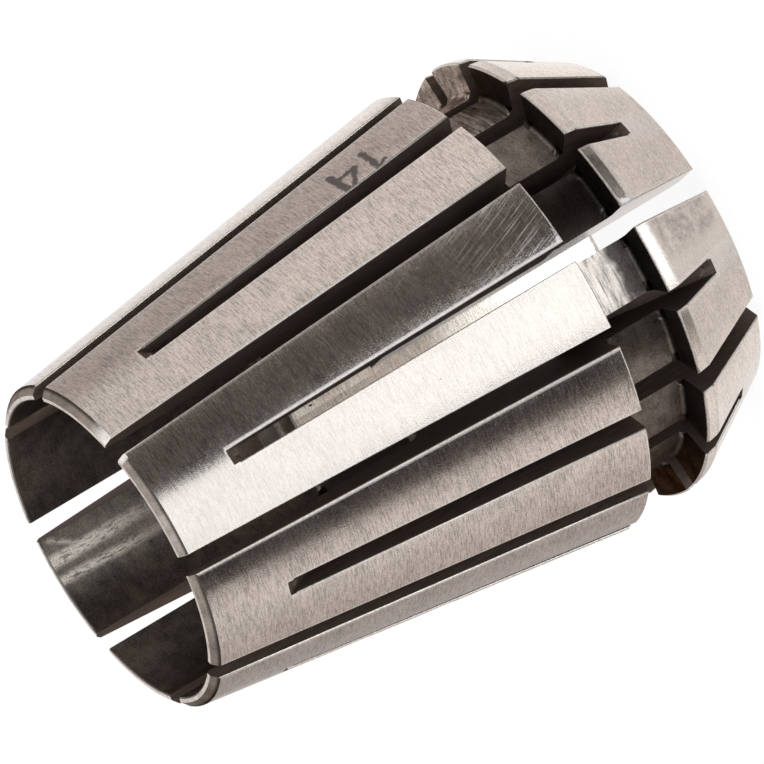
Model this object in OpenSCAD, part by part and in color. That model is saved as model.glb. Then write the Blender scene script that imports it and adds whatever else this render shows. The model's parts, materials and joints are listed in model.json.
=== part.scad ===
// Spring collet: a slotted, double-tapered steel sleeve that closes on a round shank.
// It stands on its nose face, with z running up the axis to the small tail end.

/* [Nose] */
// Length from the nose face to the tail face
overall_length = 35; // [32:0.5:40]
// Diameter of the flat nose face
nose_face_d = 19.7; // [18.5:0.1:21]
// Widest diameter of the nose, at the groove
nose_d = 25.8; // [25:0.1:27]
// Slope of the nose cone, from the axis
nose_angle = 30; // [25:1:40]
// Length of the narrow land behind the nose cone
land_length = 0.77; // [0.4:0.01:1.5]
// Slope of the land, from the axis
land_angle = 11; // [0:1:20]

/* [Extraction groove] */
// Width of the groove
groove_w = 3.75; // [2.5:0.05:5]
// Diameter of the groove's floor
groove_d = 21.8; // [20:0.1:23]

/* [Long taper] */
// Diameter of the taper's big end
taper_d = 26; // [25:0.1:27]
// Slope of the taper, from the axis
taper_angle = 8; // [7:0.25:8.5]

/* [Bore] */
// Diameter of the clamping bore
clamp_bore_d = 14; // [8:0.5:16]
// Depth of the clamping bore from the nose face
clamp_bore_depth = 20; // [15:0.5:25]
// Thickness of the wall that the relief bore leaves at the tail
tail_wall = 0.67; // [0.6:0.01:1.2]

/* [Slots] */
// Slots in each of the two families, one open at the nose and one at the tail
slots_per_family = 8; // [3:1:9]
// Metal left at the nose by the slots that open at the tail
nose_web = 2.13; // [1.5:0.05:4]
// Metal left at the tail by the slots that open at the nose
tail_web = 4.67; // [3:0.05:8]
// Width of every slot at its closed end
slot_tip_w = 0.86; // [0.5:0.02:1.2]
// Width of the slots that open at the tail, once they are clear of the tip
tail_slot_w = 1.12; // [0.6:0.02:1.4]
// Length over which those slots widen from the tip
tail_slot_flare = 3.5; // [2:0.1:6]
// Width at the nose of the slots that open there, sprung apart at rest
nose_slot_w = 1.32; // [0.6:0.02:1.5]
// Diameter of the slitting saw, which leaves its curve at each slot's end
saw_d = 63; // [50:1:80]
// How far the saw reaches through the clamping bore's wall
saw_reach = 1.5; // [1:0.25:3]

/* [Edges] */
// Break on the mouth of the clamping bore
mouth_break = 0.35; // [0.1:0.05:0.6]
// Break on the outer edge of the nose face
nose_face_break = 0.1; // [0.05:0.05:0.5]
// Break on the turned edges at the land, the groove and the taper's big end
turned_break = 0.12; // [0.02:0.02:0.25]
// Slope left in the two corners of the groove's floor
groove_corner = 0.3; // [0.1:0.05:0.6]
// Break on the outer edge of the tail
tail_break = 0.38; // [0.1:0.02:0.45]
// Break on the inner edge of the tail
tail_bore_break = 0.08; // [0.02:0.02:0.15]
// Slope left in the corner at the bottom of the relief bore
relief_corner = 0.45; // [0.1:0.05:0.6]
// Break on the long edges of the slots
slot_break = 0.1; // [0.02:0.01:0.2]

/* [Hidden] */
$fn = 144;

// How far a cutter runs past the metal that it cuts
clear = 1;

nose_face_r = nose_face_d / 2;
nose_r = nose_d / 2;
land_r = nose_r - land_length * tan(land_angle);
nose_cone_length = (land_r - nose_face_r) / tan(nose_angle);
nose_length = nose_cone_length + land_length;
groove_r = groove_d / 2;
taper_start = nose_length + groove_w;
taper_r = taper_d / 2;
clamp_r = clamp_bore_d / 2;

// The three sloping skins that the slots break out through, each
// [radius at its low end, height of its low end, height of its high end, slope from the axis]
nose_cone = [nose_face_r, 0, nose_cone_length, nose_angle];
land = [land_r, nose_cone_length, nose_length, land_angle];
long_taper = [taper_r, taper_start, overall_length, -taper_angle];

// Radius of a skin at height z
function skin_r(skin, z) = skin[0] + (z - skin[1]) * tan(skin[3]);

tail_r = skin_r(long_taper, overall_length);
relief_r = tail_r - tail_wall;

// The turned section as corners, each [radius, height, break], walked once round the metal
section_corners = [
    [clamp_r, 0, mouth_break],
    [nose_face_r, 0, nose_face_break],
    [land_r, nose_cone_length, turned_break],
    [nose_r, nose_length, turned_break],
    [groove_r, nose_length, groove_corner],
    [groove_r, taper_start, groove_corner],
    [taper_r, taper_start, turned_break],
    [tail_r, overall_length, tail_break],
    [relief_r, overall_length, tail_bore_break],
    [relief_r, clamp_bore_depth, relief_corner],
    [clamp_r, clamp_bore_depth, turned_break],
];

// A point at a given distance from a corner, on the way to its neighbour
function towards(corner, neighbour, distance) =
    let (way = [neighbour[0] - corner[0], neighbour[1] - corner[1]])
    [corner[0], corner[1]] + way * distance / norm(way);

// Every corner gives two points, one each side, so that no edge is left sharp
function broken(corners) =
    let (n = len(corners))
    [
        for (i = [0 : n - 1])
            for (neighbour = [corners[(i + n - 1) % n], corners[(i + 1) % n]])
                towards(corners[i], neighbour, corners[i][2])
    ];

module turned_sleeve() {
    rotate_extrude() polygon(broken(section_corners));
}

// A family of slots: [height of its closed end, height of its open end, full width,
// length over which it widens from the tip to that width]
tail_slots = [nose_web, overall_length, tail_slot_w, tail_slot_flare];
nose_slots = [overall_length - tail_web, 0, nose_slot_w, overall_length - tail_web];

slot_pitch = 360 / slots_per_family;
saw_r = saw_d / 2;
saw_centre_r = clamp_r - saw_reach + saw_r;

// Which way a slot runs from its closed end: 1 up to the tail, -1 down to the nose
function run(slots) = sign(slots[1] - slots[0]);

// Width of a slot at height z
function slot_w(slots, z) =
    slot_tip_w + (slots[2] - slot_tip_w) * min(1, abs(z - slots[0]) / slots[3]);

// A slot seen along its radius: narrow at the closed end, and open past the metal
module slot_outline(slots) {
    tip = slot_tip_w / 2;
    wide = slots[2] / 2;
    flare_z = slots[0] + run(slots) * slots[3];
    open_z = slots[1] + run(slots) * clear;
    polygon([
        [-tip, slots[0]], [tip, slots[0]], [wide, flare_z],
        [wide, open_z], [-wide, open_z], [-wide, flare_z]
    ]);
}

// A slot seen from the side: the saw's disc at the closed end of the skin, then its straight run
module saw_path(slots, skin) {
    end_r = skin_r(skin, slots[0]);
    centre_z = slots[0] + run(slots) * sqrt(pow(saw_r, 2) - pow(saw_centre_r - end_r, 2));
    open_z = slots[1] + run(slots) * clear;
    translate([saw_centre_r, centre_z])
        circle(r = saw_r);
    translate([saw_centre_r - saw_r, min(centre_z, open_z)])
        square([saw_d, abs(open_z - centre_z)]);
}

// A V along a skin that breaks both edges of a slot, with its root in the slot's middle plane
module edge_vee(slots, skin) {
    inset_z = slots[0] + run(slots) * slot_tip_w / 2;
    low_z = max(skin[1] - clear, min(inset_z, slots[1] - clear));
    high_z = min(skin[2] + clear, max(inset_z, slots[1] + clear));
    roots = [
        for (z = [low_z, high_z])
            [skin_r(skin, z) - (slot_w(slots, z) / 2 + slot_break) / cos(skin[3]), z]
    ];
    way = roots[1] - roots[0];
    flank = nose_slot_w + tail_slot_w;
    translate([roots[0][0], 0, roots[0][1]])
        rotate([0, atan2(way[0], way[1]), 0])
            linear_extrude(norm(way))
                polygon([[0, 0], [flank, flank], [flank, -flank]]);
}

// One slot on the +x side: where its two outlines cross, with the edges of each skin broken.
// skin is the one that its closed end lies in
module slot(slots, skin) {
    intersection() {
        rotate([90, 0, 90]) linear_extrude(saw_d) slot_outline(slots);
        rotate([90, 0, 0]) linear_extrude(2 * slots[2], center = true) saw_path(slots, skin);
    }
    for (each_skin = [nose_cone, land, long_taper])
        edge_vee(slots, each_skin);
}

module collet() {
    color("gainsboro") difference() {
        turned_sleeve();
        for (i = [0 : slots_per_family - 1]) {
            rotate([0, 0, i * slot_pitch]) slot(tail_slots, nose_cone);
            rotate([0, 0, (i + 0.5) * slot_pitch]) slot(nose_slots, long_taper);
        }
    }
}

collet();
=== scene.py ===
# %% [markdown]
# # A ground steel spring collet
# This lesson dresses one slotted steel sleeve, a spring collet, as it looks on a white studio table.
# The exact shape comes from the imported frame, which is only read. The cells set up the camera, the light
# and the table, and then give the sleeve its four finishes.
# Blender works in metres. A name that ends in _MM or _mm holds millimetres. In the finishes a height
# above the nose face, a radius and a stroke are in millimetres too, and a turn is an angle round the
# axis in degrees, counted from +X.

# %% Load the frame
import json
import math

import bpy
from mathutils import Matrix, Vector

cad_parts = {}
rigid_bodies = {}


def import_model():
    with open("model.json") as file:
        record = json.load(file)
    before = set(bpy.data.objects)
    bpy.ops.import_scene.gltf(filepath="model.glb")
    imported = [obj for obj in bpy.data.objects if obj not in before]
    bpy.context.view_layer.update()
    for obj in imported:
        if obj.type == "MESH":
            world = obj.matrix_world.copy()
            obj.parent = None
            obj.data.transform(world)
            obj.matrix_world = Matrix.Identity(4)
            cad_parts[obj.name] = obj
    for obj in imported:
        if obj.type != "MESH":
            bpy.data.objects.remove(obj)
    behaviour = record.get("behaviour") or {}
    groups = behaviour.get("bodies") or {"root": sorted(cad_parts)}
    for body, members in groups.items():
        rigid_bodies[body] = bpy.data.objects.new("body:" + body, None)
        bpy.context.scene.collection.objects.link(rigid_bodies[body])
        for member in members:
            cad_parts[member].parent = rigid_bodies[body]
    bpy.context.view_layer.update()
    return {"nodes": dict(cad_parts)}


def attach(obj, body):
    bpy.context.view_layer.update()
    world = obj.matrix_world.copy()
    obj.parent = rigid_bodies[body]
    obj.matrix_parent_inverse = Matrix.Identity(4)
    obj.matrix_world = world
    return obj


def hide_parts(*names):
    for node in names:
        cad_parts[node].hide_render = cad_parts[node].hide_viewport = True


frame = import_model()
cad_collet = frame["nodes"]["collet"]
scene = bpy.context.scene

# %% [markdown]
# ## The camera
# The real camera stood far off with a long lens, so the sleeve shows hardly any perspective. Coordinates
# could place it, but they say little to a reader. A photographer would give a bearing and a height round
# the object, a distance, a point to aim at, and a roll. The roll is large, because the picture shows the
# collet's axis running from upper right to lower left.

# %% Camera
CAMERA_BEARING = -72.170  # degrees from +X, anticlockwise seen from above
CAMERA_HEIGHT = 20.926  # degrees above the floor
CAMERA_ROLL = -120.734  # degrees about the line of sight
CAMERA_DISTANCE = 0.81237
CAMERA_AIM = Vector((0.00021, -0.00004, 0.01724))
FOCAL_LENGTH_MM, SENSOR_WIDTH_MM = 735.5, 36.0
NEAREST_SEEN, FARTHEST_SEEN = 0.05, 20.0

bearing, height = math.radians(CAMERA_BEARING), math.radians(CAMERA_HEIGHT)
towards_camera = Vector((
    math.cos(bearing) * math.cos(height),
    math.sin(bearing) * math.cos(height),
    math.sin(height),
))
camera = bpy.data.objects.new("camera", bpy.data.cameras.new("camera"))
scene.collection.objects.link(camera)
camera.data.lens = FOCAL_LENGTH_MM
camera.data.sensor_width = SENSOR_WIDTH_MM
camera.data.clip_start = NEAREST_SEEN
camera.data.clip_end = FARTHEST_SEEN
level_view = towards_camera.to_track_quat("Z", "Y").to_matrix().to_4x4()
camera.matrix_world = (
    Matrix.Translation(CAMERA_AIM + towards_camera * CAMERA_DISTANCE)
    @ level_view
    @ Matrix.Rotation(math.radians(CAMERA_ROLL), 4, "Z")
)
scene.camera = camera
scene.view_settings.view_transform = "Standard"
print("camera stands at", [round(v, 4) for v in camera.matrix_world.translation])


# %% [markdown]
# ## A short way to write node trees
# A material is a chain of small sums, and so is a rule in Geometry Nodes. Placed one by one, ten lines of
# nodes hide one thought. Two classes keep each sum on one line, so that a later cell reads like a recipe:
# the first does the arithmetic, and the second blends numbers, colours and shaders.

# %% Arithmetic for any tree
class Wiring:
    """Adds nodes to one tree; each sum gives back the socket that holds its result."""

    def __init__(self, tree):
        self.tree = tree

    def put(self, socket, value):
        """Links a socket, or sets a plain value; a colour of three numbers is opaque."""
        if isinstance(value, bpy.types.NodeSocket):
            self.tree.links.new(value, socket)
        elif socket.type == "RGBA" and len(value) == 3:
            socket.default_value = tuple(value) + (1,)
        else:
            socket.default_value = value

    def node(self, kind, values=None, **settings):
        """A new node with its settings, and with its sockets filled by number or by name."""
        made = self.tree.nodes.new(kind)
        for name, setting in settings.items():
            setattr(made, name, setting)
        for socket, value in (values or {}).items():
            self.put(made.inputs[socket], value)
        return made.outputs

    def math(self, operation, *values, clamp=False):
        return self.node("ShaderNodeMath", dict(enumerate(values)), operation=operation, use_clamp=clamp)[0]

    def vector(self, operation, *values, out=0):
        return self.node("ShaderNodeVectorMath", dict(enumerate(values)), operation=operation)[out]

    def product(self, *values):
        """The values multiplied; of shares that are 0 or 1, it is 1 where all of them are."""
        result = values[0]
        for value in values[1:]:
            result = self.math("MULTIPLY", result, value)
        return result

    def most(self, first, second):
        return self.math("MAXIMUM", first, second)

    def opposite(self, value):
        return self.math("SUBTRACT", 1.0, value)

    def above(self, value, limit):
        return self.math("GREATER_THAN", value, limit)

    def below(self, value, limit):
        return self.math("LESS_THAN", value, limit)

    def dot(self, first, second):
        return self.vector("DOT_PRODUCT", first, second, out=1)

    def length(self, value):
        return self.vector("LENGTH", value, out=1)

    def level_part(self, value):
        return self.vector("MULTIPLY", value, (1, 1, 0))

    def scaled(self, value, amount):
        return self.node("ShaderNodeVectorMath", {0: value, "Scale": amount}, operation="SCALE")[0]

    def parts(self, value):
        return tuple(self.node("ShaderNodeSeparateXYZ", {0: value}))

    def joined(self, x, y, z=0.0):
        return self.node("ShaderNodeCombineXYZ", {0: x, 1: y, 2: z})[0]


def helpers(kind):
    """The helpers that a class adds, as one line of text."""
    return ", ".join(name for name in vars(kind) if not name.startswith("_"))


print("arithmetic:", helpers(Wiring))


# %% Soft steps, mixes and noise
class Blending(Wiring):
    """Wiring that also blends numbers, colours and whole shaders."""

    def between(self, value, low, high, low_out=0.0, high_out=1.0):
        """A soft step: low_out up to low, high_out from high on."""
        ends = {0: value, 1: low, 2: high, 3: low_out, 4: high_out}
        return self.node("ShaderNodeMapRange", ends, interpolation_type="SMOOTHSTEP")[0]

    def blend(self, share, first, second):
        """A number that goes from first to second."""
        return self.node("ShaderNodeMix", {0: share, 2: first, 3: second}, data_type="FLOAT")[0]

    def mix(self, share, first, second):
        """A colour that goes from first to second."""
        return self.node("ShaderNodeMix", {0: share, 6: first, 7: second}, data_type="RGBA")[2]

    def noise(self, place, scale, detail, roughness):
        """Noise from 0 to 1. Three scales draw it out along the direction of the smallest one."""
        if isinstance(scale, tuple):
            place, scale = self.vector("MULTIPLY", place, scale), 1.0
        values = {"Vector": place, "Scale": scale, "Detail": detail, "Roughness": roughness}
        return self.node("ShaderNodeTexNoise", values, noise_dimensions="3D")["Fac"]

    def ramp(self, value, stops):
        """Colours by position from 0 to 1: each stop is (position, colour)."""
        out = self.node("ShaderNodeValToRGB", {0: value})[0]
        elements = out.node.color_ramp.elements
        elements[0].position, elements[-1].position = 0.0, 1.0
        while len(elements) < len(stops):
            elements.new(0.5)
        for element, (position, colour) in zip(elements, sorted(stops)):
            element.position = position
            element.color = tuple(colour) + (1,)
        return out

    def shader(self, kind, **values):
        return self.node(kind, values)[0]

    def either(self, share, first, second):
        """The first shader where share is 0, and the second where it is 1."""
        return self.node("ShaderNodeMixShader", {0: share, 1: first, 2: second})[0]


def empty_tree(holder):
    """The node tree of a new material or world, with nothing in it."""
    holder.use_nodes = True
    holder.node_tree.nodes.clear()
    return holder.node_tree


print("blending:", helpers(Blending))

# %% [markdown]
# ## The light
# Ground steel has hardly any colour of its own: each strip of the taper shows whatever stands in the
# direction that it mirrors. In a studio that is a tent of white cloth with dark cards in it, which give
# round metal its dark stripes. Lamps would make small hot spots, so the world shader is the tent. Its
# level is written by compass bearing, once round the collet and once for what the steel sees lower down.

# %% The tent's cloth and cards
TENT = [
    (-180, 0.71), (-165, 0.79), (-152, 0.95), (-138, 1.0), (-130, 0.5), (-123, 0.06), (-107, 0.05),
    (-103, 1.75), (-62.6, 1.8), (-59.6, 0.12), (-40, 0.11), (-22, 0.14), (-16, 0.98), (22, 0.93),
    (30, 0.60), (66, 0.59), (76, 1.2), (112, 1.05), (124, 0.54), (160, 0.52), (172, 0.64), (180, 0.71),
]
LOW_TENT = [
    (-180, 1.2), (-150, 1.05), (-135, 0.6), (-122, 0.1), (-110, 0.08), (-106, 2.9), (-62, 2.9),
    (-58, 0.10), (-22, 0.12), (-14, 0.9), (20, 0.95), (30, 1.0), (60, 1.0), (80, 1.35), (112, 1.25),
    (140, 1.1), (180, 1.2),
]
CLOTH_TINT = (1.0, 1.0, 1.0)
SHADED_CLOTH_TINT = (1.0, 0.95, 0.94)
BRIGHT_CARD_TINT = (0.93, 1.02, 1.08)
SHADED_BELOW, BRIGHT_ABOVE = 0.75, 1.5

world = bpy.data.worlds.new("light_tent")
scene.world = world
tent = Blending(empty_tree(world))
tent_x, tent_y, tent_z = tent.parts(
    tent.vector("NORMALIZE", tent.node("ShaderNodeTexCoord")["Generated"]))
compass = tent.math("MULTIPLY_ADD", tent.math("ARCTAN2", tent_y, tent_x), 0.5 / math.pi, 0.5)


def tinted(level):
    """The brightest card is a cooler white than the cloth, and cloth in half shade is a warmer one."""
    tint = BRIGHT_CARD_TINT if level > BRIGHT_ABOVE else CLOTH_TINT
    if level < SHADED_BELOW:
        tint = SHADED_CLOTH_TINT
    return tuple(level * share for share in tint)


def ring(levels):
    """The tent's cloth and cards, once round the compass."""
    return tent.ramp(compass, [((degrees + 180) / 360, tinted(level)) for degrees, level in levels])


print("light tent:", len(TENT), "levels round the compass, and", len(LOW_TENT), "lower down")

# %% [markdown]
# ## The tent overhead and underneath
# The two rings are joined by how steeply a ray looks down, and an even pale cloth closes the tent above
# and below. Behind the collet the picture is plain white, which the tent isn't. Light Path tells the
# camera's own rays from those that the steel reflects, so each gets its own world.

# %% The tent as the world
DOWN_TO_LOW_TENT = (0.36, 0.50)  # how far down a ray looks, as the sine of its slope
OVERHEAD_RISE, OVERHEAD_LEVEL = (0.55, 0.95), 1.25
UNDERNEATH_FALL, UNDERNEATH_LEVEL = (0.70, 0.80), 0.95

down = tent.math("MULTIPLY", tent_z, -1.0)
cloth = tent.mix(tent.between(down, *DOWN_TO_LOW_TENT), ring(TENT), ring(LOW_TENT))
cloth = tent.mix(tent.between(tent_z, *OVERHEAD_RISE), cloth, (OVERHEAD_LEVEL,) * 3)
cloth = tent.mix(tent.between(down, *UNDERNEATH_FALL), cloth, (UNDERNEATH_LEVEL,) * 3)
by_ray = tent.either(
    tent.node("ShaderNodeLightPath")["Is Camera Ray"],
    tent.shader("ShaderNodeBackground", Color=cloth, Strength=1.0),
    tent.shader("ShaderNodeBackground", Color=(1, 1, 1), Strength=1.0))
tent.node("ShaderNodeOutputWorld", {"Surface": by_ray})
print("world:", world.name, "with", len(tent.tree.nodes), "nodes")

# %% [markdown]
# ## The table
# The collet stands on its nose face on a white table, for which one large square is enough. The camera
# sees a white that is mostly glow, with a share of true light so that the soft shadow stays. A mirror ray
# passes through the table to the tent, so the steel shows the tent below the horizon too.

# %% Table
TABLE_HALF_WIDTH = 2.0
SHADOW_SHARE = 0.16  # how much of the white is lit by the studio, and so can be shadowed
TABLE_GLOW = 1.08  # of the rest, so that the open table comes out pure white
TABLE_COLOUR = (0.92, 0.92, 0.92)

floor_mesh = bpy.data.meshes.new("floor")
half = TABLE_HALF_WIDTH
corners = [(-half, -half, 0), (half, -half, 0), (half, half, 0), (-half, half, 0)]
floor_mesh.from_pydata(corners, [], [(0, 1, 2, 3)])
floor = bpy.data.objects.new("floor", floor_mesh)
scene.collection.objects.link(floor)

table_white = bpy.data.materials.new("table_white")
table = Blending(empty_tree(table_white))
ray = table.node("ShaderNodeLightPath")
lit = table.shader("ShaderNodeBsdfDiffuse", Color=TABLE_COLOUR)
glow = table.shader("ShaderNodeEmission", Color=(1, 1, 1), Strength=TABLE_GLOW)
to_camera = table.either(SHADOW_SHARE, glow, lit)
by_ray = table.either(ray["Is Camera Ray"], lit, to_camera)
by_ray = table.either(ray["Is Glossy Ray"], by_ray, table.shader("ShaderNodeBsdfTransparent"))
table.node("ShaderNodeOutputMaterial", {"Surface": by_ray})
floor_mesh.materials.append(table_white)
print("table:", 2 * TABLE_HALF_WIDTH, "m square")


# %% [markdown]
# ## A skin that knows its own surfaces
# A machinist sees more than a shape: the taper was ground, the groove was only turned, the slots were
# sawn, and every sharp edge was broken with a stone. The frame's mesh doesn't say which face is which,
# and a hand-made choice would break at the first change of size. Rules can tell them apart: a sawn wall
# faces sideways, a bore faces the axis, a broken edge is tilted between two faces. Geometry Nodes works
# such a rule on every face at once. This class adds what only a geometry tree needs: named inputs,
# values on faces or corners, and steps that change the mesh.

# %% Geometry node helpers
class GeometryWiring(Blending):
    """The same short way of writing, for a geometry tree with named inputs."""

    def __init__(self, name):
        super().__init__(bpy.data.node_groups.new(name, "GeometryNodeTree"))
        self.tree.interface.new_socket(name="Geometry", in_out="OUTPUT", socket_type="NodeSocketGeometry")
        self.ids = {}

    def inputs(self, **kinds):
        for name, kind in kinds.items():
            socket = self.tree.interface.new_socket(
                name=name, in_out="INPUT", socket_type="NodeSocket" + kind)
            self.ids[name] = socket.identifier
        return self.node("NodeGroupInput")

    def on(self, domain, value, kind="FLOAT_VECTOR"):
        """The value as it is on whole faces, edges or points."""
        return self.node("GeometryNodeFieldOnDomain", {0: value}, domain=domain, data_type=kind)[0]

    def step(self, kind, geometry, **values):
        """One operation on the geometry, with its other sockets by name."""
        return self.node(kind, {0: geometry, **values})[0]

    def inside(self, value, low, high):
        return self.product(self.above(value, low), self.below(value, high))

    def turned_to(self, share, first, second):
        """A direction that goes from first to second."""
        return self.node("ShaderNodeMix", {0: share, 4: first, 5: second}, data_type="VECTOR")[1]


def make_plain_mesh(holder, wiring, values):
    """Runs a tree on an object with these inputs, and leaves the result as an ordinary mesh."""
    modifier = holder.modifiers.new(wiring.tree.name, "NODES")
    modifier.node_group = wiring.tree
    for name, value in values.items():
        modifier[wiring.ids[name]] = value
    seen_by_blender = holder.evaluated_get(bpy.context.evaluated_depsgraph_get())
    mesh = bpy.data.meshes.new_from_object(seen_by_blender)
    holder.modifiers.clear()
    holder.data = mesh
    return mesh


print("geometry:", helpers(GeometryWiring))

# %% [markdown]
# ## What each face shows
# The loose triangles of the frame are first joined at their corners. Then each face tells how it faces:
# how much outwards, how much round the axis and how much up. These three parts are the same all round
# the sleeve, which the plain x, y and z of a normal aren't, so one rule serves all sixteen fingers.

# %% How each face lies to the axis
SAME_POINT = 1e-7  # metres, below which two corners are one
FINISHES = ("ground_steel", "worn_edge", "furnace_skin", "sawn_steel")
UP = (0, 0, 1)

skin = GeometryWiring("collet_skin")
given = skin.inputs(
    Frame_part="Object", Slots_a_family="Float", Nose_web="Float", Slot_end="Float",
    Groove_low="Float", Groove_high="Float", Bore_step="Float", Bore_lip="Float", Relief_radius="Float",
    Half_gap="Float", **dict.fromkeys(FINISHES, "Material"),
)
cad_body = skin.node("GeometryNodeObjectInfo", {"Object": given["Frame_part"]}, transform_space="ORIGINAL")
body = skin.step("GeometryNodeMergeByDistance", cad_body["Geometry"], Distance=SAME_POINT)
position = skin.node("GeometryNodeInputPosition")[0]
facing = skin.on("FACE", skin.node("GeometryNodeInputNormal")["True Normal"])
middle = skin.on("FACE", position)


def axis_frame(where):
    """The two level directions at a point: out from the axis, and round it."""
    outward = skin.vector("NORMALIZE", skin.level_part(where))
    return outward, skin.vector("CROSS_PRODUCT", UP, outward)


outward, round_axis = axis_frame(middle)
out_part, side_part, up_part = (skin.dot(facing, way) for way in (outward, round_axis, UP))
side_size = skin.math("ABSOLUTE", side_part)
up_size = skin.math("ABSOLUTE", up_part)
middle_x, middle_y, height = skin.parts(middle)
radius = skin.length(skin.level_part(middle))
print("skin tree:", len(skin.ids), "named inputs")

# %% [markdown]
# ## Which faces the saw made
# Both families of slots stand at an even pitch, so a face can be folded back to its nearest slot, and one
# sum serves all of them. A wall of a slot faces sideways. The curved end that the saw's disc leaves
# doesn't, so it is told by its place: within half a gap of the slot's middle plane, and past its tip.

# %% Saw cuts
WALL_FACES_ASIDE = 0.9  # the sine of how far a wall's normal stands off the plane through the axis
FACES_OUTWARDS = -0.3  # leaves out the faces that look towards the axis

angle = skin.math("ARCTAN2", middle_y, middle_x)
half_pitch = skin.math("DIVIDE", math.pi, given["Slots_a_family"])


def off_slot(shift):
    """How far a face lies to the side of the nearest slot of one family."""
    folded = skin.math(
        "WRAP", skin.math("ADD", angle, shift), half_pitch, skin.math("MULTIPLY", half_pitch, -1.0))
    return skin.product(radius, skin.math("ABSOLUTE", skin.math("SINE", folded)))


def end_of_slots(shift, past_tip):
    """1 on the curved ends of one family."""
    near_plane = skin.below(off_slot(shift), given["Half_gap"])
    return skin.product(skin.above(out_part, FACES_OUTWARDS), near_plane, past_tip)


slot_end = skin.most(
    end_of_slots(0.0, skin.above(height, given["Nose_web"])),
    end_of_slots(half_pitch, skin.below(height, given["Slot_end"])),
)
saw_wall = skin.above(side_size, WALL_FACES_ASIDE)
saw_cut = skin.most(saw_wall, slot_end)
print("saw cuts: a wall faces aside by more than", WALL_FACES_ASIDE)

# %% [markdown]
# ## The slope of every turned skin
# A lathe makes few slopes: the taper, the nose cone, the land, straight walls and flat shoulders. A face
# that is within a few degrees of one of them belongs to it, and takes its exact slope, so that the small
# facets of a cone shade as one. What has no such slope is a broken edge.

# %% Slopes
TAIL_BEVEL_SLOPE = 49.0  # in degrees from the axis, as the others are
SLOPES = (8.0, TAIL_BEVEL_SLOPE, -30.0, -11.0, 0.0, 90.0, -90.0, 180.0)
SLOPE_TOLERANCE = 3.0
LOWEST_SLOPE = -170.0  # where the angles wrap round, away from all that are named

tilt = skin.math("ARCTAN2", up_part, out_part)
tilt = skin.math("WRAP", tilt, math.radians(LOWEST_SLOPE + 360), math.radians(LOWEST_SLOPE))
named_slope = 0.0
for slope in SLOPES:
    near = skin.math("COMPARE", tilt, math.radians(slope), math.radians(SLOPE_TOLERANCE))
    named_slope = skin.most(named_slope, near)
    tilt = skin.blend(near, tilt, math.radians(slope))
print("slopes:", SLOPES)

# %% [markdown]
# ## Edges, groove and bore
# Hardening leaves a dark skin wherever nothing was ground afterwards. On a collet that is the groove, the
# wide bore at the tail and the bevel round its end. They are told by height and radius, as a drawing
# would give them, and the edges by their tilt: stoned ones lean sideways, turned ones up or down.

# %% Edges, groove and bore
STONED_LEAN = (0.3, 0.9)  # how far aside an edge of a slot faces
TURNED_LEAN = (0.25, 0.97)  # how far up or down a turned edge faces
SAME_SLOPE = 1.0  # degrees

not_sawn = skin.opposite(saw_cut)
stoned = skin.inside(side_size, *STONED_LEAN)
not_stoned = skin.opposite(stoned)
turned_edge = skin.product(skin.inside(up_size, *TURNED_LEAN), skin.opposite(named_slope), not_sawn)
broken_edge = skin.most(stoned, turned_edge)
in_groove = skin.product(
    skin.inside(height, given["Groove_low"], given["Groove_high"]),
    skin.above(radius, given["Relief_radius"]), not_sawn, not_stoned)
in_relief_bore = skin.product(
    skin.inside(height, given["Bore_step"], given["Bore_lip"]),
    skin.below(radius, given["Relief_radius"]), not_sawn)
tail_bevel = skin.product(
    skin.math("COMPARE", tilt, math.radians(TAIL_BEVEL_SLOPE), math.radians(SAME_SLOPE)),
    not_stoned, not_sawn)
furnace_skin = skin.most(tail_bevel, skin.most(in_groove, in_relief_bore))
worn_edge = skin.product(broken_edge, skin.opposite(furnace_skin))
print("rules so far:", len(skin.tree.nodes), "nodes")

# %% [markdown]
# ## Shading that runs over the edges
# A broken edge is a narrow flat here and a small round on the real collet. More faces could round it, but
# it is lighter to bend the normals: each corner of an edge takes the way that the surfaces beside it
# face, so the light runs over the flat as over a round. The sum is done in outward, sideways and upward
# parts, and turned back at each corner, so the turned skins come out smooth as well.

# %% The bent normals
level_tilt, raised_tilt = skin.math("COSINE", tilt), skin.math("SINE", tilt)
facing_parts = skin.turned_to(
    saw_cut, skin.joined(level_tilt, 0.0, raised_tilt), skin.joined(out_part, side_part, up_part))
flat_wall = skin.product(saw_wall, skin.opposite(slot_end))
turned_face = skin.opposite(skin.most(broken_edge, slot_end))


def met_by(share):
    """At each corner, the way the marked faces round its point face on average."""
    return skin.on("POINT", skin.on("FACE", skin.scaled(facing_parts, share)))


chosen = skin.turned_to(
    skin.on("FACE", broken_edge, "FLOAT"), skin.on("FACE", facing_parts), met_by(turned_face))
chosen = skin.turned_to(skin.on("FACE", slot_end, "FLOAT"), chosen, met_by(slot_end))
chosen_out, chosen_side, chosen_up = skin.parts(skin.vector("NORMALIZE", chosen))
outward_here, round_here = axis_frame(position)
bent = skin.vector("ADD", skin.scaled(round_here, chosen_side), skin.scaled(UP, chosen_up))
bent = skin.vector("ADD", skin.scaled(outward_here, chosen_out), bent)
shading = skin.turned_to(skin.on("FACE", flat_wall, "FLOAT"), bent, facing)
print("shading: worked out at every corner of the", len(cad_collet.data.polygons), "faces")

# %% [markdown]
# ## Where one surface ends and the next begins
# The renderer keeps one normal for each point, so two surfaces that meet at a crisp line must not share
# points there. Each surface gets a number of its own. On an edge between two surfaces the number's mean
# square differs from the square of its mean, and those are the edges to split.

# %% Borders between surfaces
EDGE_NUMBER = 10.0  # added to the slope of a broken edge
WALL_NUMBER, WALL_SIDE = 30.0, 5.0
SLOT_END_NUMBER = 50.0
SAME_NUMBER = 1e-3

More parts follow.
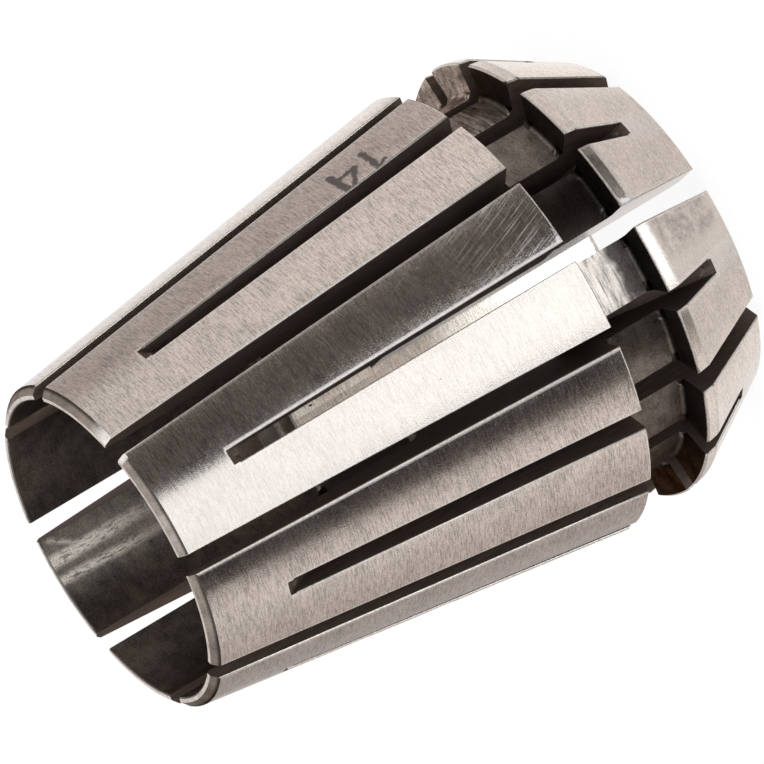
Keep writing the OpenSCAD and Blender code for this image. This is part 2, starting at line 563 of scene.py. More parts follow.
surface_number = skin.math("ADD", tilt, skin.math("MULTIPLY", broken_edge, EDGE_NUMBER))
wall_number = skin.math("MULTIPLY_ADD", skin.math("SIGN", side_part), WALL_SIDE, WALL_NUMBER)
surface_number = skin.blend(flat_wall, surface_number, wall_number)
surface_number = skin.blend(slot_end, surface_number, SLOT_END_NUMBER)
mean_number, mean_square = (
    skin.on("EDGE", skin.on("FACE", value, "FLOAT"), "FLOAT")
    for value in (surface_number, skin.product(surface_number, surface_number))
)
spread = skin.math("SUBTRACT", mean_square, skin.product(mean_number, mean_number))
borders = skin.above(spread, SAME_NUMBER)
print("borders: split where two numbers differ, with", len(skin.tree.nodes), "nodes so far")

# %% [markdown]
# ## The steps that make the mesh
# Only now does the mesh change. The bent normals are first kept on its corners, because splitting would
# change what a corner's neighbours are. Then the borders are split, the kept normals are set, and each
# rule hands its faces their finish, the later ones over the earlier.

# %% Normals and finishes
CORNERS, DIRECTIONS = {"domain": "CORNER"}, {"data_type": "FLOAT_VECTOR"}

body = skin.node(
    "GeometryNodeStoreNamedAttribute", {0: body, "Name": "shading", "Value": shading},
    **CORNERS, **DIRECTIONS)[0]
body = skin.step("GeometryNodeSplitEdges", body, Selection=borders)
body = skin.step("GeometryNodeSetShadeSmooth", body)
kept = skin.node("GeometryNodeInputNamedAttribute", {"Name": "shading"}, **DIRECTIONS)[0]
body = skin.node("GeometryNodeSetMeshNormal", {0: body, "Custom Normal": kept}, mode="FREE", **CORNERS)[0]
body = skin.step("GeometryNodeRemoveAttribute", body, Name="shading")
body = skin.step("GeometryNodeRealizeInstances", body)
body = skin.step("GeometryNodeSetMaterial", body, Material=given["ground_steel"])
for marked, name in zip((worn_edge, furnace_skin, saw_cut), FINISHES[1:]):
    body = skin.step("GeometryNodeSetMaterial", body, Selection=marked, Material=given[name])
skin.node("NodeGroupOutput", {0: body})
print("skin tree:", len(skin.tree.nodes), "nodes")

# %% [markdown]
# ## The collet's skin
# The tree now runs on one new object, which stands for the frame's collet. Its inputs are the few sizes
# that the rules need, from the collet's drawing. The result is kept as an ordinary mesh, because a mesh
# can be exported, and counting the faces of each finish shows whether the rules hold.

# %% Collet skin
MM = 0.001
SLOTS_A_FAMILY = 8
NOSE_WEB_MM = 2.13  # where the slots from the tail end
SLOT_END_MM = 30.33  # where the slots from the nose end
HALF_GAP_MM = 0.40  # a little less than half the width of a slot's tip
GROOVE_LOW_MM, GROOVE_HIGH_MM = 5.79, 9.54
BORE_STEP_MM = 20.0  # where the clamping bore meets the wider relief bore
BORE_LIP_MM = 34.9  # where the relief bore ends at the tail
RELIEF_RADIUS_MM = 8.8
CLEAR_MM = 0.01  # so that a shoulder counts as within its groove or bore

finishes = {name: bpy.data.materials.new(name) for name in FINISHES}
collet_skin = bpy.data.objects.new("collet_skin", bpy.data.meshes.new("collet_skin"))
scene.collection.objects.link(collet_skin)
skin_mesh = make_plain_mesh(collet_skin, skin, {
    "Frame_part": cad_collet, "Slots_a_family": float(SLOTS_A_FAMILY),
    "Nose_web": NOSE_WEB_MM * MM, "Slot_end": SLOT_END_MM * MM, "Half_gap": HALF_GAP_MM * MM,
    "Groove_low": (GROOVE_LOW_MM - CLEAR_MM) * MM, "Groove_high": (GROOVE_HIGH_MM + CLEAR_MM) * MM,
    "Bore_step": (BORE_STEP_MM - CLEAR_MM) * MM, "Bore_lip": BORE_LIP_MM * MM,
    "Relief_radius": RELIEF_RADIUS_MM * MM, **finishes,
})
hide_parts("collet")
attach(collet_skin, "root")
for number, material in enumerate(skin_mesh.materials):
    marked = sum(1 for face in skin_mesh.polygons if face.material_index == number)
    print(f"{material.name if material else None}: {marked} of {len(skin_mesh.polygons)} faces")


# %% [markdown]
# ## Reading a place on the skin
# Marks of use sit at a height above the nose and at a turn round the axis. A wrapped picture could carry
# them, but object coordinates give both numbers exactly, with no image and no seam. This class adds them
# to a material, and ends every finish with the same metal shader. The shader needs a direction to spread
# its reflections along, and for round ground work that is the axis.

# %% What every finish can do
AXIS_LEAN = 12.0  # the outward part per metre, which gives the flat ends a direction too


class Finish(Blending):
    """The wiring of one metal finish, with its place on the skin in millimetres and degrees."""

    def __init__(self, name):
        super().__init__(empty_tree(finishes[name]))
        self.place = self.node("ShaderNodeTexCoord")["Object"]
        self.place_mm = self.vector("MULTIPLY", self.place, (1 / MM,) * 3)
        x, y, self.height = self.parts(self.place_mm)
        self.turn = self.math("MULTIPLY", self.math("ARCTAN2", y, x), 180 / math.pi)
        self.radius = self.length(self.level_part(self.place_mm))

    def window(self, value, span, soft):
        """1 within a span of (low, high), fading over soft on both sides of each end."""
        low, high = span
        rise = self.between(value, low - soft, low + soft)
        return self.product(rise, self.between(value, high - soft, high + soft, 1.0, 0.0))

    def turns(self, span, soft=0.3):
        return self.window(self.turn, span, soft)

    def heights(self, span, soft):
        return self.window(self.height, span, soft)

    def rising(self, low, high, low_out=0.0, high_out=1.0):
        """A soft step that goes with the height."""
        return self.between(self.height, low, high, low_out, high_out)

    def pattern(self, scale, detail=2.0, roughness=0.6):
        """Noise on the skin, with scales per millimetre."""
        return self.noise(self.place_mm, scale, detail, roughness)

    def sum_of(self, start, shares):
        """start plus every share times how far its pattern stands from the middle grey."""
        total = start - sum(share * 0.5 for share, _ in shares)
        for share, pattern in shares:
            total = self.math("MULTIPLY_ADD", pattern, share, total)
        return total

    def metal(self, colour, roughness, metallic=1.0, anisotropic=0.85, edge_tint=(1, 1, 1), bump=None):
        """The metal of this finish; bump is (pattern, depth in millimetres)."""
        along_axis = self.vector("ADD", self.vector("MULTIPLY", self.place, (AXIS_LEAN, AXIS_LEAN, 0.0)), UP)
        values = {
            "Base Color": colour, "Metallic": metallic, "Roughness": roughness, "Anisotropic": anisotropic,
            "Specular Tint": edge_tint, "Tangent": self.vector("NORMALIZE", along_axis),
        }
        if bump is not None:
            pattern, depth_mm = bump
            values["Normal"] = self.shader("ShaderNodeBump", Distance=depth_mm * MM, Height=pattern)
        steel = self.node("ShaderNodeBsdfPrincipled", values)[0]
        self.node("ShaderNodeOutputMaterial", {"Surface": steel})


print("finishes:", helpers(Finish))


# %% [markdown]
# ## Strokes and slot edges
# A scratch, a knock or a figure is drawn as strokes from one place to another, as a scriber would leave
# them: the skin is unrolled flat, and the distance to each stroke decides where it is. The edges of the
# slots carry wear along their whole length, so their distance is worked out too, from the pitch and the
# widths of the slots.

# %% Marks on a finish
TAPER_MEAN_RADIUS_MM = 12.1  # where the marks are, so that turns and heights have one scale
SLOT_TIP_HALF_MM, NOSE_SLOT_HALF_MM, TAIL_SLOT_HALF_MM = 0.43, 0.66, 0.56
FAR_MM = 10.0  # farther than any mark reaches
TIP_FADE = 3.0  # how fast a slot's edge is left behind past its tip


class MarkedFinish(Finish):
    """A finish that can also carry strokes, and wear beside the slots."""

    def __init__(self, name):
        super().__init__(name)
        round_mm = self.math("MULTIPLY", self.turn, TAPER_MEAN_RADIUS_MM * math.pi / 180)
        self.unrolled = self.joined(round_mm, self.height)

    def off_stroke(self, first, last):
        """Millimetres from a stroke between two places, each (turn, height)."""
        start, end = (
            Vector((math.radians(turn) * TAPER_MEAN_RADIUS_MM, height, 0)) for turn, height in (first, last))
        from_start = self.vector("SUBTRACT", self.unrolled, tuple(start))
        run = end - start
        if first == last:
            return self.length(from_start)
        share = self.math("MULTIPLY", self.dot(from_start, tuple(run)), 1 / run.length_squared, clamp=True)
        return self.vector("DISTANCE", from_start, self.scaled(tuple(run), share), out=1)

    def strokes(self, marks, ragged=None, soft=0.03):
        """1 on every mark, each (first place, last place, half width), with a soft or ragged edge."""
        nearest = FAR_MM
        for first, last, half_width in marks:
            past_edge = self.math("SUBTRACT", self.off_stroke(first, last), half_width)
            nearest = self.math("MINIMUM", nearest, past_edge)
        if ragged is not None:
            nearest = self.math("ADD", nearest, ragged)
        return self.between(nearest, -soft, soft, 1.0, 0.0)

    def past_slot_edge(self, shift, half_width):
        """Millimetres from the edge of the nearest slot of one family, measured round the outside."""
        half_pitch = math.pi / SLOTS_A_FAMILY
        radians = self.math("MULTIPLY", self.turn, math.pi / 180)
        folded = self.math("WRAP", self.math("ADD", radians, shift), half_pitch, -half_pitch)
        aside = self.product(self.radius, self.math("ABSOLUTE", self.math("SINE", folded)))
        return self.math("SUBTRACT", aside, half_width)

    def slot_edge(self):
        """Millimetres from the nearest long edge of a slot of either family."""
        towards_nose = self.math("MULTIPLY_ADD", self.height, -1 / SLOT_END_MM, 1.0)
        nose_half = self.math(
            "MULTIPLY_ADD", towards_nose, NOSE_SLOT_HALF_MM - SLOT_TIP_HALF_MM, SLOT_TIP_HALF_MM)
        past_tip = self.math("MAXIMUM", self.math("SUBTRACT", self.height, SLOT_END_MM), 0.0)
        nose_edge = self.math(
            "ADD", self.past_slot_edge(math.pi / SLOTS_A_FAMILY, nose_half), self.product(past_tip, TIP_FADE))
        tail_edge = self.math("MINIMUM", FAR_MM, self.past_slot_edge(0.0, TAIL_SLOT_HALF_MM))
        return self.math("MINIMUM", tail_edge, nose_edge)


print("marks:", helpers(MarkedFinish))

# %% [markdown]
# ## Ground steel: the wheel's lines
# The outside was ground while the sleeve turned, so the stone left fine lines that run round it. Such
# lines spread a reflection along the axis and keep it sharp round it, which is what an anisotropic metal
# does. The lines are noise drawn out round the axis and squeezed along it, with a grain and a slow cloud
# over them. One finger is smoother than the rest.

# %% Lines of the grinding wheel
TAPER_FROM_MM = 9.5  # the foot of the taper, at the groove
LINE_SCALE, FINE_LINE_SCALE = (1.3, 1.3, 12.0), (3.0, 3.0, 19.0)
POLISHED_FINGER = (-90.0, -67.5)

ground = MarkedFinish("ground_steel")
on_strip = ground.above(ground.height, TAPER_FROM_MM)
polished = ground.turns(POLISHED_FINGER)
lines = ground.pattern(LINE_SCALE)
fine_lines = ground.pattern(FINE_LINE_SCALE, detail=1.0, roughness=0.5)
grain = ground.pattern(15.0, detail=1.0, roughness=0.5)
cloud = ground.pattern(0.6, detail=3.0, roughness=0.55)
dark_lines = ground.product(
    ground.between(lines, 0.36, 0.56, 0.30, 0.0), ground.rising(9.0, 9.6, 0.4, 1.0))
texture = ground.sum_of(0.06, [(0.7, fine_lines), (1.0, grain), (0.45, cloud)])
texture = ground.math("SUBTRACT", texture, dark_lines)
texture = ground.product(texture, ground.blend(polished, 1.0, 0.33))
tone = ground.math("ADD", texture, 1.0)
# darker towards the tail: painted shade
tone = ground.product(tone, ground.rising(10.0, 36.0, 1.0, 0.88))
print("grinding lines: noise scaled by", LINE_SCALE, "and", FINE_LINE_SCALE)

# %% [markdown]
# ## Ground steel: a stain and painted shade
# Hands and coolant leave a blotchy stain on one segment of the nose. A strip of taper beside a slot and one
# segment of the land are darkened as painted shade, mottled on the land. They could be painted by hand.
# Windows of turns and heights with soft ends do it with a few numbers, which stay true if the mesh changes.

# %% A stain and painted shade
STAINED_TURNS, STAINED_HEIGHTS = (-81.0, -66.0), (0.5, 4.7)
DARK_STRIP_TURNS, DARK_STRIP_TONE = (-100.5, -91.0), 0.66
DARK_LAND_TURNS, DARK_LAND_HEIGHTS = (-67.0, -45.0), (5.0, 5.8)

blotches = ground.pattern(1.3, detail=4.0, roughness=0.75)
stained = ground.product(
    ground.turns(STAINED_TURNS, soft=2.5),
    ground.heights(STAINED_HEIGHTS, soft=0.3),
    ground.between(blotches, 0.34, 0.68, 0.40, 0.0))
# painted shade: a darker strip of taper beside a slot
painted_dark_strip = ground.product(ground.turns(DARK_STRIP_TURNS, soft=1.6), on_strip)
# painted shade: one segment of the land darker, mottled
painted_dark_land = ground.product(
    ground.turns(DARK_LAND_TURNS, soft=0.5),
    ground.heights(DARK_LAND_HEIGHTS, soft=0.05))
tone = ground.math("SUBTRACT", tone, stained)
tone = ground.product(tone, ground.blend(painted_dark_strip, 1.0, DARK_STRIP_TONE))
tone = ground.product(tone, ground.blend(painted_dark_land, 1.0, ground.between(cloud, 0.35, 0.65, 0.45, 0.8)))
print("dull places: turns", STAINED_TURNS, DARK_STRIP_TURNS, DARK_LAND_TURNS)

# %% [markdown]
# ## Ground steel: scratches
# One finger faces the hand that picks the collet up, and is combed with hairlines that lean across it.
# Hairlines are noise again, drawn out along their run. A few single scratches and pits are strokes.

# %% Scratches and hairlines
def spot(turn, height, half_width=0.03):
    """A pit or a speck: a stroke of no length."""
    return (turn, height), (turn, height), half_width


SCRATCHES = [
    ((-51.4, 11.62), (-48.5, 10.2), 0.01), ((-55.9, 14.64), (-54.4, 13.66), 0.015),
    ((-53.2, 18.5), (-49.6, 16.8), 0.0), ((-60.7, 12.5), (-58.4, 10.35), 0.0),
    spot(-59.6, 17.66), spot(-59.3, 18.32), spot(-55.9, 18.88), spot(-61.7, 15.5),
]
SCRATCH_SHARE = 0.7
HAIRLINE_RUN, HAIRLINE_ACROSS = (0.33, -0.94, 0.0), (0.94, 0.33, 0.0)
SCALE_ALONG, SCALE_ACROSS = 0.38, 13.0
HANDLED_TURNS = (-66.0, -46.0)

combed = ground.joined(
    ground.math("MULTIPLY", ground.dot(ground.unrolled, HAIRLINE_RUN), SCALE_ALONG),
    ground.math("MULTIPLY", ground.dot(ground.unrolled, HAIRLINE_ACROSS), SCALE_ACROSS))
handled = ground.product(
    ground.turns(HANDLED_TURNS, soft=1.5),
    ground.rising(11.0, 17.5, 0.8, 0.0), on_strip)
hairlines = ground.between(ground.noise(combed, 1.0, detail=1.0, roughness=0.5), 0.54, 0.74)
scratched = ground.most(
    ground.product(ground.strokes(SCRATCHES), SCRATCH_SHARE), ground.product(hairlines, handled))
print("scratches:", len(SCRATCHES), "drawn, and hairlines at turns", HANDLED_TURNS)

# %% [markdown]
# ## Ground steel: rubbed beside the slots, with painted highlights
# The slots' edges are rubbed pale by every holder that the collet goes into, and the pale band also widens
# the bright line along each edge as a painted highlight. The distance to a slot's edge says where. Two edges
# get a stronger painted highlight, and two worn corners carry painted highlights.

# %% Rubbed edges and painted highlights
BORE_RADIUS_MM = 7.1  # just outside the clamping bore
SLOT_BREAK_MM = 0.10
BRIGHTEST_EDGE_HIGHLIGHT, BRIGHT_EDGE_HIGHLIGHT = (-65.8, -63.6), (-94.0, -91.8)
EDGE_SHARE, BRIGHT_MORE, BRIGHTEST_MORE = 0.25, 0.4, 0.65
CORNER_HIGHLIGHTS = [
    ((-64.7, 9.80), (-63.6, 9.76), 0.10), ((-64.8, 9.8), (-64.9, 10.8), 0.03),
    ((-63.6, 9.74), (-61.0, 9.72), 0.01), ((-64.1, 5.25), (-63.7, 5.55), 0.13),
    ((-63.7, 5.2), (-62.2, 5.12), 0.02), ((-63.7, 5.6), (-62.4, 5.72), 0.02),
]

bore_wall = ground.below(ground.radius, BORE_RADIUS_MM)
outside = ground.opposite(bore_wall)
# a pale band beside the slots' edges: wear, and a painted highlight that widens each edge's bright line
rubbed_and_sheen = ground.between(ground.slot_edge(), SLOT_BREAK_MM + 0.02, SLOT_BREAK_MM + 0.14, 1.0, 0.0)
rubbed_and_sheen = ground.product(rubbed_and_sheen, outside, ground.between(grain, 0.3, 0.5, 0.6, 1.0))
# two edges with a stronger painted highlight
brightest = ground.product(ground.turns(BRIGHTEST_EDGE_HIGHLIGHT), on_strip)
bright = ground.product(ground.turns(BRIGHT_EDGE_HIGHLIGHT), on_strip)
edge_share = ground.math("MULTIPLY_ADD", bright, BRIGHT_MORE, EDGE_SHARE)
edge_share = ground.math("MULTIPLY_ADD", brightest, BRIGHTEST_MORE, edge_share)
# painted highlights on two worn corners
knocked_corner_highlights = ground.product(
    ground.strokes(CORNER_HIGHLIGHTS, soft=0.05), ground.between(grain, 0.25, 0.5, 0.7, 1.0))
rubbed_and_sheen = ground.most(ground.product(rubbed_and_sheen, edge_share), knocked_corner_highlights)
print("rubbed:", len(CORNER_HIGHLIGHTS), "strokes on the knocked corners")

# %% [markdown]
# ## Ground steel: the wall of the clamping bore
# The bore was honed smooth. Through a slot it shows bright and pale near the nose, where it is smoother and
# its colour is lightened as painted light, and brownish with a few specks farther in, warmer and brighter at
# some turns and brighter and cloudy in one place. It is the same steel, so instead of a fifth material the
# same one makes it, told apart by its radius.

# %% Wall of the clamping bore
STEEL_COLOUR = (0.62, 0.533, 0.478)
BORE_COLOUR = (0.66, 0.61, 0.57)
WARM_BORE_COLOUR = (0.80, 0.67, 0.575)
BORE_MOUTH_LIGHT_COLOUR = (1.0, 0.95, 0.89)
WARM_BORE_TURNS, CLOUDY_BORE_TURNS = (88.0, 114.0), (90.0, 101.3)
BORE_TONE = 0.86

# painted light: near the mouth the colour is lightened towards white, and the wall is smoother
lit_near_mouth = ground.rising(8.6, 11.2, 1.0, 0.0)
# a warmer, brighter colour at these turns
bore_colour = ground.mix(
    ground.turns(WARM_BORE_TURNS, soft=2.0), BORE_COLOUR, WARM_BORE_COLOUR)
bore_colour = ground.mix(lit_near_mouth, bore_colour, BORE_MOUTH_LIGHT_COLOUR)
cloudy = ground.product(
    ground.turns(CLOUDY_BORE_TURNS, soft=0.25), ground.rising(13.0, 16.0))
bore_tone = ground.blend(cloudy, BORE_TONE, ground.sum_of(1.25, [(1.2, cloud)]))
bare_steel = ground.mix(bore_wall, STEEL_COLOUR, ground.scaled(bore_colour, bore_tone))
print("bore wall: stained at turns", WARM_BORE_TURNS)

# %% [markdown]
# ## Ground steel: the size number
# A number tells which shank the bore takes: a plain 14, etched in grey. A font would look printed, while
# strokes give it an uneven, ragged edge. The specks and a spot of rust are strokes as well.

# %% Size number and specks
SIZE_NUMBER = [
    ((-10.3, 14.0), (-20.8, 14.1), 0.19), ((-18.1, 13.55), (-19.0, 14.0), 0.13),
    ((-13.6, 14.86), (-20.2, 15.84), 0.17), ((-13.5, 14.86), (-13.5, 15.9), 0.17),
    ((-10.3, 16.16), (-20.6, 16.12), 0.23),
]
NUMBER_COLOUR, NUMBER_SHARE, NUMBER_RAGGED_MM = (0.17, 0.142, 0.135), 0.92, 0.36
DARK_SPECKS = [spot(-78.1, 18.8), spot(-85.7, 16.6)]
BORE_SPECKS = [((99.1, 18.7), (99.3, 18.65), 0.09), spot(102.0, 16.9, 0.05)]
SPECK_COLOUR = (0.1, 0.09, 0.08)
RUST_SPOT = [((-135.0, 9.9), (-134.4, 9.9), 0.07)]
RUST_COLOUR = (0.34, 0.13, 0.05)

specks = ground.blend(bore_wall, ground.strokes(DARK_SPECKS), ground.strokes(BORE_SPECKS))
rust = ground.strokes(RUST_SPOT)
ragged = ground.pattern(4.0)
ragged = ground.math("MULTIPLY_ADD", ragged, NUMBER_RAGGED_MM, -0.5 * NUMBER_RAGGED_MM)
number = ground.strokes(SIZE_NUMBER, ragged, soft=0.07)
print("size number:", len(SIZE_NUMBER), "strokes, and", len(DARK_SPECKS + BORE_SPECKS), "specks")

# %% [markdown]
# ## Ground steel: all of it together
# The colours go on in order: bare steel, wear with its painted highlights, dirt, and the number last. Rubbed
# metal scatters light, so it is rougher and less of a mirror. The bump is only a few thousandths of a
# millimetre deep, as real grinding lines are, with none in the honed bore. Deeper bump would break the crisp
# reflections.

# %% Ground steel
WORN_AND_SHEEN_COLOUR, WORN_ROUGHNESS = (0.92, 0.87, 0.82), 0.6
GROUND_ROUGHNESS, HONED_ROUGHNESS, MOUTH_ROUGHNESS = 0.25, 0.42, 0.16
RELIEF_DEPTH_MM = 0.008
CALM_TURNS, CALM_SHARE = (-90.0, -56.5), 0.35

colour = ground.scaled(bare_steel, tone)
colour = ground.mix(ground.most(scratched, rubbed_and_sheen), colour, WORN_AND_SHEEN_COLOUR)
colour = ground.mix(specks, colour, SPECK_COLOUR)
colour = ground.mix(rust, colour, RUST_COLOUR)
colour = ground.mix(ground.product(number, NUMBER_SHARE), colour, NUMBER_COLOUR)
roughness = ground.sum_of(GROUND_ROUGHNESS, [(0.1, fine_lines), (0.1, cloud)])
roughness = ground.blend(ground.most(scratched, number), roughness, WORN_ROUGHNESS)
roughness = ground.math("MULTIPLY_ADD", rubbed_and_sheen, 0.2, roughness)
bore_roughness = ground.blend(lit_near_mouth, HONED_ROUGHNESS, MOUTH_ROUGHNESS)
roughness = ground.blend(bore_wall, roughness, bore_roughness)
calm = ground.product(
    ground.turns(CALM_TURNS, soft=1.5), ground.rising(21.0, 29.0))
relief = ground.product(ground.math("MULTIPLY_ADD", lines, 0.4, grain), outside)
relief = ground.product(relief, ground.blend(calm, 1.0, CALM_SHARE))
ground.metal(
    colour, roughness, metallic=ground.math("MULTIPLY_ADD", rubbed_and_sheen, -0.8, 1.0),
    bump=(relief, RELIEF_DEPTH_MM))
print("ground steel:", len(ground.tree.nodes), "nodes")

# %% [markdown]
# ## Worn edges
# A broken edge is polished by every tool and drawer that it touches, so it is the brightest line on the
# piece. A painted line would look flat, so it stays mostly metal, and the bent normals let it gather light
# from a wide part of the tent; on the two brightest edges it is partly non-metal, which paints a highlight.
# It is darker towards the nose and at the tail's rim, and darker inside the bore and on one short stretch as
# painted shade.

# %% Worn edges
EDGE_COLOUR, EDGE_ROUGHNESS = (0.98, 0.885, 0.80), 0.5
SHADED_EDGE, SHADED_EDGE_TONE = (-21.8, -18.5), 0.45
INNER_EDGE_RADIUS_MM, INNER_EDGE_SHADE_TONE = 9.0, 0.35

edge = Finish("worn_edge")
edge_grain = edge.pattern(7.0)
# painted shade: edges inside the bore are darker
painted_shade_in_bore = edge.product(
    edge.below(edge.radius, INNER_EDGE_RADIUS_MM), edge.rising(12.0, 18.0))
shaded = edge.turns(SHADED_EDGE)
edge_tone = edge.product(
    edge.sum_of(0.95, [(1.0, edge_grain)]),
    edge.rising(5.9, 9.0, 0.72, 1.0),
    edge.rising(34.5, 34.8, 1.0, 0.55),
    edge.blend(painted_shade_in_bore, 1.0, INNER_EDGE_SHADE_TONE),
    edge.blend(shaded, 1.0, SHADED_EDGE_TONE))
# painted highlight: the two brightest edges are made partly non-metal
polished_edge_highlight = edge.most(edge.turns(BRIGHTEST_EDGE_HIGHLIGHT), edge.turns(BRIGHT_EDGE_HIGHLIGHT))
edge.metal(
    edge.scaled(EDGE_COLOUR, edge_tone), EDGE_ROUGHNESS, anisotropic=0.3,
    metallic=edge.math("MULTIPLY_ADD", polished_edge_highlight, -0.6, 1.0))
print("worn edges:", len(edge.tree.nodes), "nodes")

# %% [markdown]
# ## The dark skin of the furnace
# Hardening leaves a brown-black skin of oxide, which stays in the groove, in the relief bore and on the
# tail's bevel. It is metal under a thin dirty film, so a dark metal with grain, cloud and turning lines
# serves better than a dull paint. A few segments are darker as painted shade, and so is the groove's wall at
# the nose, less where wiped. Other segments were scored or half wiped clean.

# %% Furnace skin
FURNACE_COLOUR = (0.18, 0.148, 0.128)
DARK_SKIN_TURNS, DARK_SKIN_TONE = (-89.5, -46.0), 0.45
WIPED_TURNS = (0.0, 100.0)
SHADED_SHOULDER, WIPED_SHOULDER = 0.3, 0.9
SCORED_TURNS, SCORED_HEIGHTS = (-21.0, -1.0), (6.05, 9.2)
IN_TAIL_TONE = 1.1

furnace = MarkedFinish("furnace_skin")
skin_grain = furnace.pattern(11.0)
skin_cloud = furnace.pattern(1.2, roughness=0.5)
turning_lines = furnace.pattern((0.7, 0.7, 6.0))
in_tail = furnace.above(furnace.height, BORE_STEP_MM)
wiped = furnace.turns(WIPED_TURNS, soft=3.0)
# painted shade on the groove's wall at the nose, less on the wiped segments
on_shoulder = furnace.rising(5.82, 6.05, 1.0, 0.0)
shoulder_tone = furnace.blend(wiped, SHADED_SHOULDER, WIPED_SHOULDER)
skin_tone = furnace.sum_of(1.0, [(1.9, skin_grain), (1.3, skin_cloud), (0.6, turning_lines)])
skin_tone = furnace.product(skin_tone, furnace.blend(on_shoulder, 1.0, shoulder_tone))
# painted shade: darker at these turns
painted_dark_skin = furnace.turns(DARK_SKIN_TURNS, soft=0.5)
scored = furnace.product(
    furnace.turns(SCORED_TURNS, soft=0.5),
    furnace.heights(SCORED_HEIGHTS, soft=0.05))
scored_tone = furnace.sum_of(1.35, [(5.0, turning_lines)])
wiped_tone = furnace.sum_of(2.3, [(5.0, skin_cloud), (2.0, skin_grain)])
wiped_groove = furnace.product(wiped, furnace.opposite(in_tail))
colour = furnace.scaled(FURNACE_COLOUR, skin_tone)
for share, other_tone in (
    (painted_dark_skin, DARK_SKIN_TONE), (in_tail, IN_TAIL_TONE), (scored, scored_tone), (wiped_groove, wiped_tone),
):
    colour = furnace.scaled(colour, furnace.blend(share, 1.0, other_tone))
print("furnace skin: sooty at turns", DARK_SKIN_TURNS, "and wiped at", WIPED_TURNS)

# %% [markdown]
# ## Where the groove is rubbed bright, with a painted reflection
# The nut's ring pulls the collet out by its groove, and on one segment it has rubbed the skin through to
# metal. The patch is painted bright as the reflection of the tent's bright card, and ends in a wandering line
# short of the nose, where the painted shade of the nose wall begins. The cloud gives the line for free, and
# the turning lines show in it as darker rings.

# %% Rubbed part of the groove, with its painted reflection
RUBBED_SHEEN_TURNS = (-89.5, -68.0)
RUBBED_SHEEN_COLOUR = (0.66, 0.57, 0.50)
PATCH_EDGE_MM, PATCH_WANDER_MM = 6.45, 1.6

patch_edge = furnace.math("MULTIPLY_ADD", skin_cloud, PATCH_WANDER_MM, PATCH_EDGE_MM)
past_line = furnace.math("SUBTRACT", furnace.height, patch_edge)
# painted reflection on the rubbed patch, cut off short of the nose as painted shade
rubbed_and_reflection = furnace.product(
    furnace.turns(RUBBED_SHEEN_TURNS, soft=0.6),
    furnace.between(past_line, -0.55, 0.25),
    furnace.rising(9.05, 9.25, 1.0, 0.1),
    furnace.between(turning_lines, 0.30, 0.48, 0.45, 1.0))
bared_and_lit = furnace.scaled(
    RUBBED_SHEEN_COLOUR, furnace.sum_of(0.80, [(1.3, turning_lines), (0.7, skin_grain)]))
colour = furnace.mix(rubbed_and_reflection, colour, bared_and_lit)
print("groove: rubbed bright from a height of about", PATCH_EDGE_MM + PATCH_WANDER_MM / 2, "mm")

# %% [markdown]
# ## Painted reflections inside the tail
# Bright streaks on one wall of the relief bore are painted reflections of the light that comes in through the
# slots, on steel made less of a metal so that they catch light. Plain strokes look like pills, so noise drawn
# out along the axis breaks them up, and they fade farther in.

# %% Painted reflections in the relief bore
STREAK_REFLECTION_COLOUR = (1.0, 0.87, 0.75)
BORE_REFLECTION_STREAKS = [
    ((102.3, 35.2), (102.1, 27.0), 0.44), ((109.2, 35.2), (110.5, 28.0), 0.30),
    ((94.9, 34.5), (100.0, 33.2), 0.05),
]

drawn_out = furnace.pattern((8.0, 8.0, 1.6), detail=3.0, roughness=0.65)
# painted reflections of light through the slots
streaks = furnace.product(
    furnace.strokes(BORE_REFLECTION_STREAKS, soft=0.30), in_tail,
    furnace.between(drawn_out, 0.37, 0.50, 0.15, 1.0),
    furnace.rising(29.0, 32.0, 0.25, 1.0),
    furnace.between(skin_grain, 0.32, 0.5, 0.35, 1.0))
colour = furnace.mix(streaks, colour, STREAK_REFLECTION_COLOUR)
print("relief bore:", len(BORE_REFLECTION_STREAKS), "streaks")

# %% [markdown]
# ## The tail's bevel
# The bevel is the first thing to touch a holder, so its skin is thinner than in the bore, and two of its
# corners are knocked bright, with painted highlights on them. A dark line along its foot is painted shade. It
# shares the furnace's material, told by its height, which completes it.

# %% Bevel, and the whole furnace skin
BEVEL_COLOUR = (0.33, 0.285, 0.25)
BEVEL_LOW_MM, BEVEL_RADIUS_MM = 34.62, 9.0
KNOCKED_HIGHLIGHT_FROM_TURN, KNOCKED_HIGHLIGHT_TURNS = -46.0, (-50.5, -47.0)
KNOCKED_HIGHLIGHT_COLOUR = (0.95, 0.91, 0.87)
FURNACE_ROUGHNESS, FURNACE_DEPTH_MM = 0.38, 0.004
FURNACE_EDGE_TINT = (0.35, 0.33, 0.32)

on_bevel = furnace.product(
    furnace.above(furnace.height, BEVEL_LOW_MM - 0.05), furnace.above(furnace.radius, BEVEL_RADIUS_MM))
# painted shade: a dark line along the bevel's foot
bevel_tone_and_shade = furnace.product(
    furnace.rising(BEVEL_LOW_MM + 0.05, BEVEL_LOW_MM + 0.18, 0.25, 1.0),
    furnace.sum_of(1.0, [(1.2, skin_grain), (1.2, skin_cloud)]))
colour = furnace.mix(on_bevel, colour, furnace.scaled(BEVEL_COLOUR, bevel_tone_and_shade))
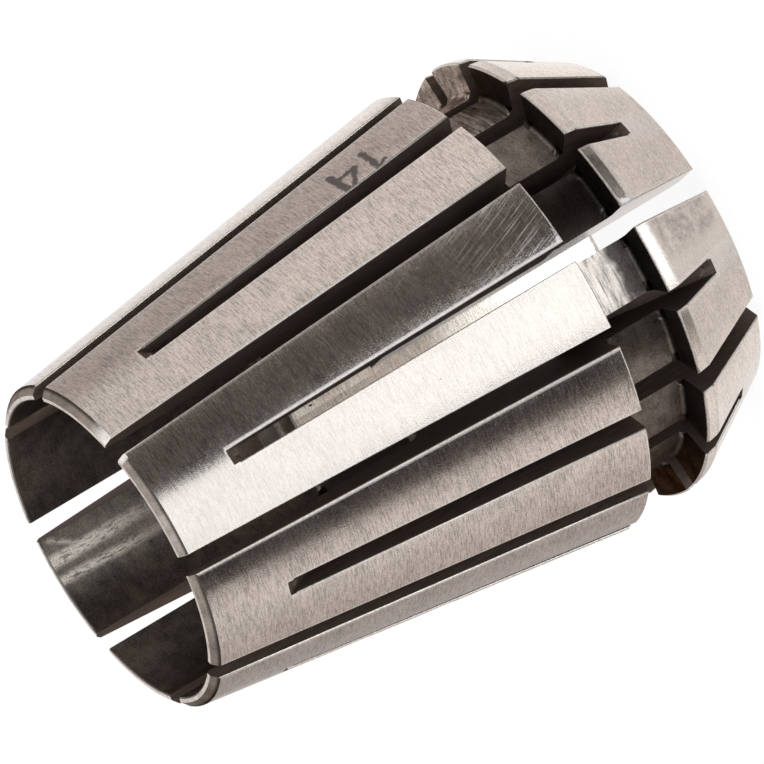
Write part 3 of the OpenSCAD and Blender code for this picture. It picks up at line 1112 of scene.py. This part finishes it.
# painted highlights on two knocked corners
knocked_highlight = furnace.product(
    furnace.above(furnace.turn, KNOCKED_HIGHLIGHT_FROM_TURN), furnace.between(furnace.turn, -41.0, -31.0, 1.0, 0.0))
knocked_highlight = furnace.most(knocked_highlight, furnace.turns(KNOCKED_HIGHLIGHT_TURNS, soft=0.6))
knocked_highlight = furnace.product(knocked_highlight, furnace.between(skin_grain, 0.25, 0.5, 0.4, 0.9), on_bevel)
colour = furnace.mix(knocked_highlight, colour, KNOCKED_HIGHLIGHT_COLOUR)
furnace.metal(
    colour, FURNACE_ROUGHNESS, metallic=furnace.math("MULTIPLY_ADD", streaks, -0.85, 1.0),
    edge_tint=FURNACE_EDGE_TINT, bump=(skin_grain, FURNACE_DEPTH_MM))
print("furnace skin:", len(furnace.tree.nodes), "nodes")

# %% [markdown]
# ## Saw cuts
# The slots were slit before hardening, so their walls carry the furnace's skin over the fine marks of the
# saw. A mix of rough oxide and metal makes them nearly black. One wall of the slot that faces the camera
# shines almost edge-on, beside the bore and in the groove, so a pale colour is painted on it there as its
# sheen, on a smoother, fully metal surface.

# %% Sawn steel
SAWN_COLOUR, SAWN_ROUGHNESS, SAWN_METALLIC = (0.12, 0.086, 0.07), 0.5, 0.6
SAWN_EDGE_TINT, SAWN_DEPTH_MM = (0.3, 0.26, 0.24), 0.003
SHEEN_WALL_TURNS = (-67.4, -60.0)
SHEEN_WALL_COLOUR, SHEEN_WALL_ROUGHNESS = (0.9, 0.82, 0.75), 0.2

sawn = Finish("sawn_steel")
saw_marks = sawn.pattern((7.0, 7.0, 0.8))
saw_grain = sawn.pattern(9.0)
sawn_tone = sawn.sum_of(1.0, [(1.1, saw_marks), (0.7, saw_grain)])
beside_bore = sawn.product(
    sawn.between(sawn.radius, 9.0, 9.4, 1.0, 0.0), sawn.below(sawn.height, BORE_STEP_MM))
# painted sheen on one wall of the slot that faces the camera
sheen_wall = sawn.product(
    sawn.most(beside_bore, sawn.below(sawn.height, GROOVE_HIGH_MM)),
    sawn.turns(SHEEN_WALL_TURNS, soft=0.1))
sawn.metal(
    sawn.mix(sheen_wall, sawn.scaled(SAWN_COLOUR, sawn_tone), SHEEN_WALL_COLOUR),
    sawn.blend(sheen_wall, SAWN_ROUGHNESS, SHEEN_WALL_ROUGHNESS),
    metallic=sawn.blend(sheen_wall, SAWN_METALLIC, 1.0), anisotropic=0.3,
    edge_tint=sawn.mix(sheen_wall, SAWN_EDGE_TINT, (1, 1, 1)), bump=(saw_marks, SAWN_DEPTH_MM))
print("sawn steel:", len(sawn.tree.nodes), "nodes")

# %% [markdown]
# ## Finish
# The last cell prints how many faces the skin has.

# %% Finish
print("boxes written, with", len(skin_mesh.polygons), "faces on the skin")
